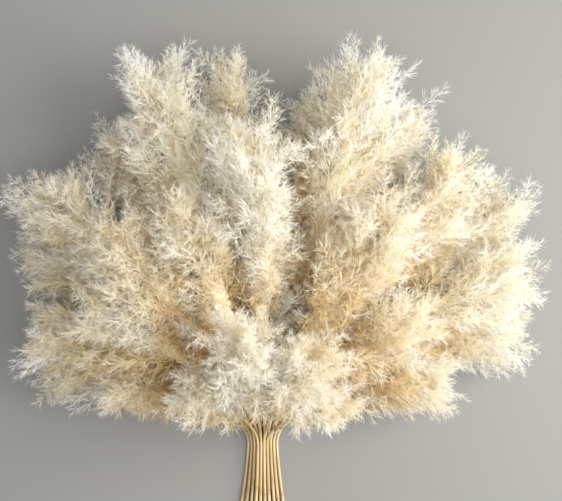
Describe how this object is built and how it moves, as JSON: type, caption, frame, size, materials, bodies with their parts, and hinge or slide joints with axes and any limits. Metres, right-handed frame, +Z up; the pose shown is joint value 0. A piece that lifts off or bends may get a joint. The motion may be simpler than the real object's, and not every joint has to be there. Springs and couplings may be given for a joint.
{
  "type": "bundle of pampas grass",
  "caption": "Bundle of dried pampas grass lying on a surface: bare straw culms gathered side by side, fanning out into soft cream plumes, for display.",
  "frame": {"origin": "on the surface the bundle lies on, under the middle of its outline box", "axes": "+Z up, away from the surface; +Y from the cut ends towards the tallest plumes; +X to their right, seen from above"},
  "size_m": [0.7962, 0.7811, 0.3082],
  "materials": {
    "plume": "matte, silky fibres, cream to pale gold",
    "culm": "satin, dry straw"
  },
  "bodies": {
    "root": {"culm_01": "culm", "plume_01": "plume", "culm_02": "culm", "plume_02": "plume", "culm_03": "culm", "plume_03": "plume", "culm_04": "culm", "plume_04": "plume", "culm_05": "culm", "plume_05": "plume", "culm_06": "culm", "plume_06": "plume", "culm_07": "culm", "plume_07": "plume", "culm_08": "culm", "plume_08": "plume", "culm_09": "culm", "plume_09": "plume", "culm_10": "culm", "plume_10": "plume", "culm_11": "culm", "plume_11": "plume", "culm_12": "culm", "plume_12": "plume", "culm_13": "culm", "plume_13": "plume", "culm_14": "culm", "plume_14": "plume", "culm_15": "culm", "plume_15": "plume", "culm_16": "culm", "plume_16": "plume", "culm_17": "culm", "plume_17": "plume", "culm_18": "culm", "plume_18": "plume", "culm_19": "culm", "plume_19": "plume", "culm_20": "culm", "plume_20": "plume", "culm_21": "culm", "plume_21": "plume", "culm_22": "culm", "plume_22": "plume", "culm_23": "culm", "plume_23": "plume", "culm_24": "culm", "plume_24": "plume", "culm_25": "culm", "plume_25": "plume", "culm_26": "culm", "plume_26": "plume", "culm_27": "culm", "plume_27": "plume", "culm_28": "culm", "plume_28": "plume"}
  },
  "joints": []
}
